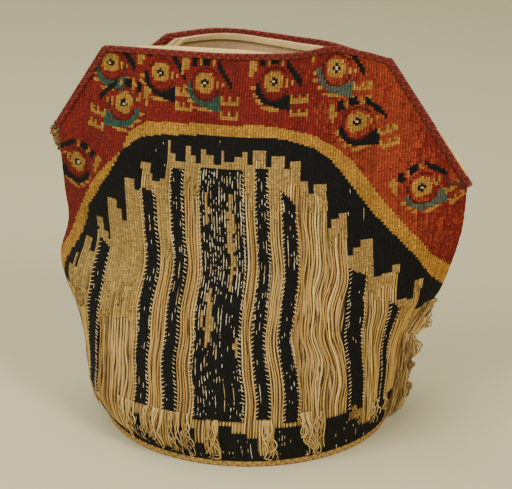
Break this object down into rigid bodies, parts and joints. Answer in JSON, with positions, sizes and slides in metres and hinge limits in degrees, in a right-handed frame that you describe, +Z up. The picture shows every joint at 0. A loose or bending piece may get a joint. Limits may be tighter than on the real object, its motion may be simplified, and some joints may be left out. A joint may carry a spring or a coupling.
{
  "type": "mitre cap",
  "caption": "Worn woven mitre cap: tapestry tube, round at the head, with side tips, slanted crown, open top, lining, plaited edges and frayed warps.",
  "frame": {"origin": "under the middle of the whole cap's box, on the surface it rests on", "axes": "+Z up through the open top, the front panel faces -Y, +X towards the longer side tip"},
  "size_m": [0.2496, 0.1756, 0.2357],
  "materials": {
    "front_tapestry": "ribbed wool tapestry, red, black and gold, worn to the warps",
    "back_tapestry": "ribbed wool tapestry, red, black and gold",
    "lining_cloth": "plain smooth beige cotton cloth",
    "cream_hem": "folded cream cotton strip",
    "red_edging": "plaited crimson wool cord",
    "gold_binding": "plaited gold wool binding",
    "raw_warp": "bare unbleached cotton warps"
  },
  "bodies": {
    "root": {"front_panel": "front_tapestry", "back_panel": "back_tapestry", "front_lining": "lining_cloth", "back_lining": "lining_cloth", "front_hem": "cream_hem", "back_hem": "cream_hem", "front_edging": "red_edging", "back_edging": "red_edging", "base_binding": "gold_binding", "frayed_warps": "raw_warp"}
  },
  "joints": []
}
